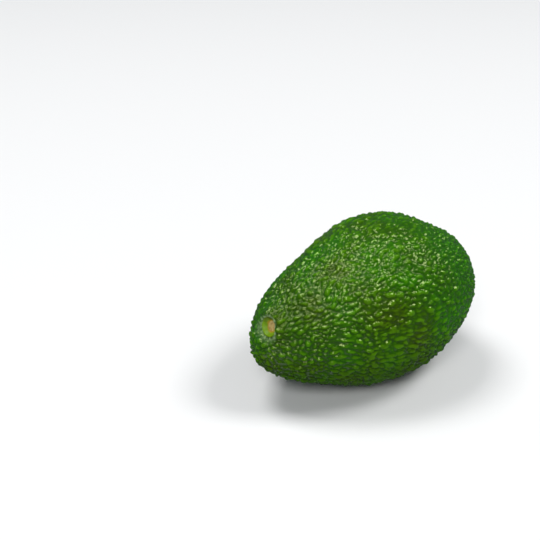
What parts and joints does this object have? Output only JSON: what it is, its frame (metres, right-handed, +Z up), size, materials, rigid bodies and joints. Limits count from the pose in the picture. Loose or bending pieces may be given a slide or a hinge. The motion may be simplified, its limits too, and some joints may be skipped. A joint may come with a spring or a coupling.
{
  "type": "avocado",
  "caption": "Whole green avocado with pebbled skin, lying on its side on a small flat spot, with the clipped stem button seated in its shoulder.",
  "frame": {"origin": "middle of the base of the fruit's box, on the flat spot that it rests on", "axes": "+X along the fruit from its stem end to its blossom end, +Z up as it rests, +Y across it"},
  "size_m": [0.1036, 0.0682, 0.0679],
  "materials": {
    "avocado_skin": "glossy pebbled green skin with pale waxy bloom",
    "stem_button": "smooth yellow-green collar round a matt tan cut face"
  },
  "bodies": {
    "root": {"fruit": "avocado_skin", "stem_button": "stem_button"}
  },
  "joints": []
}
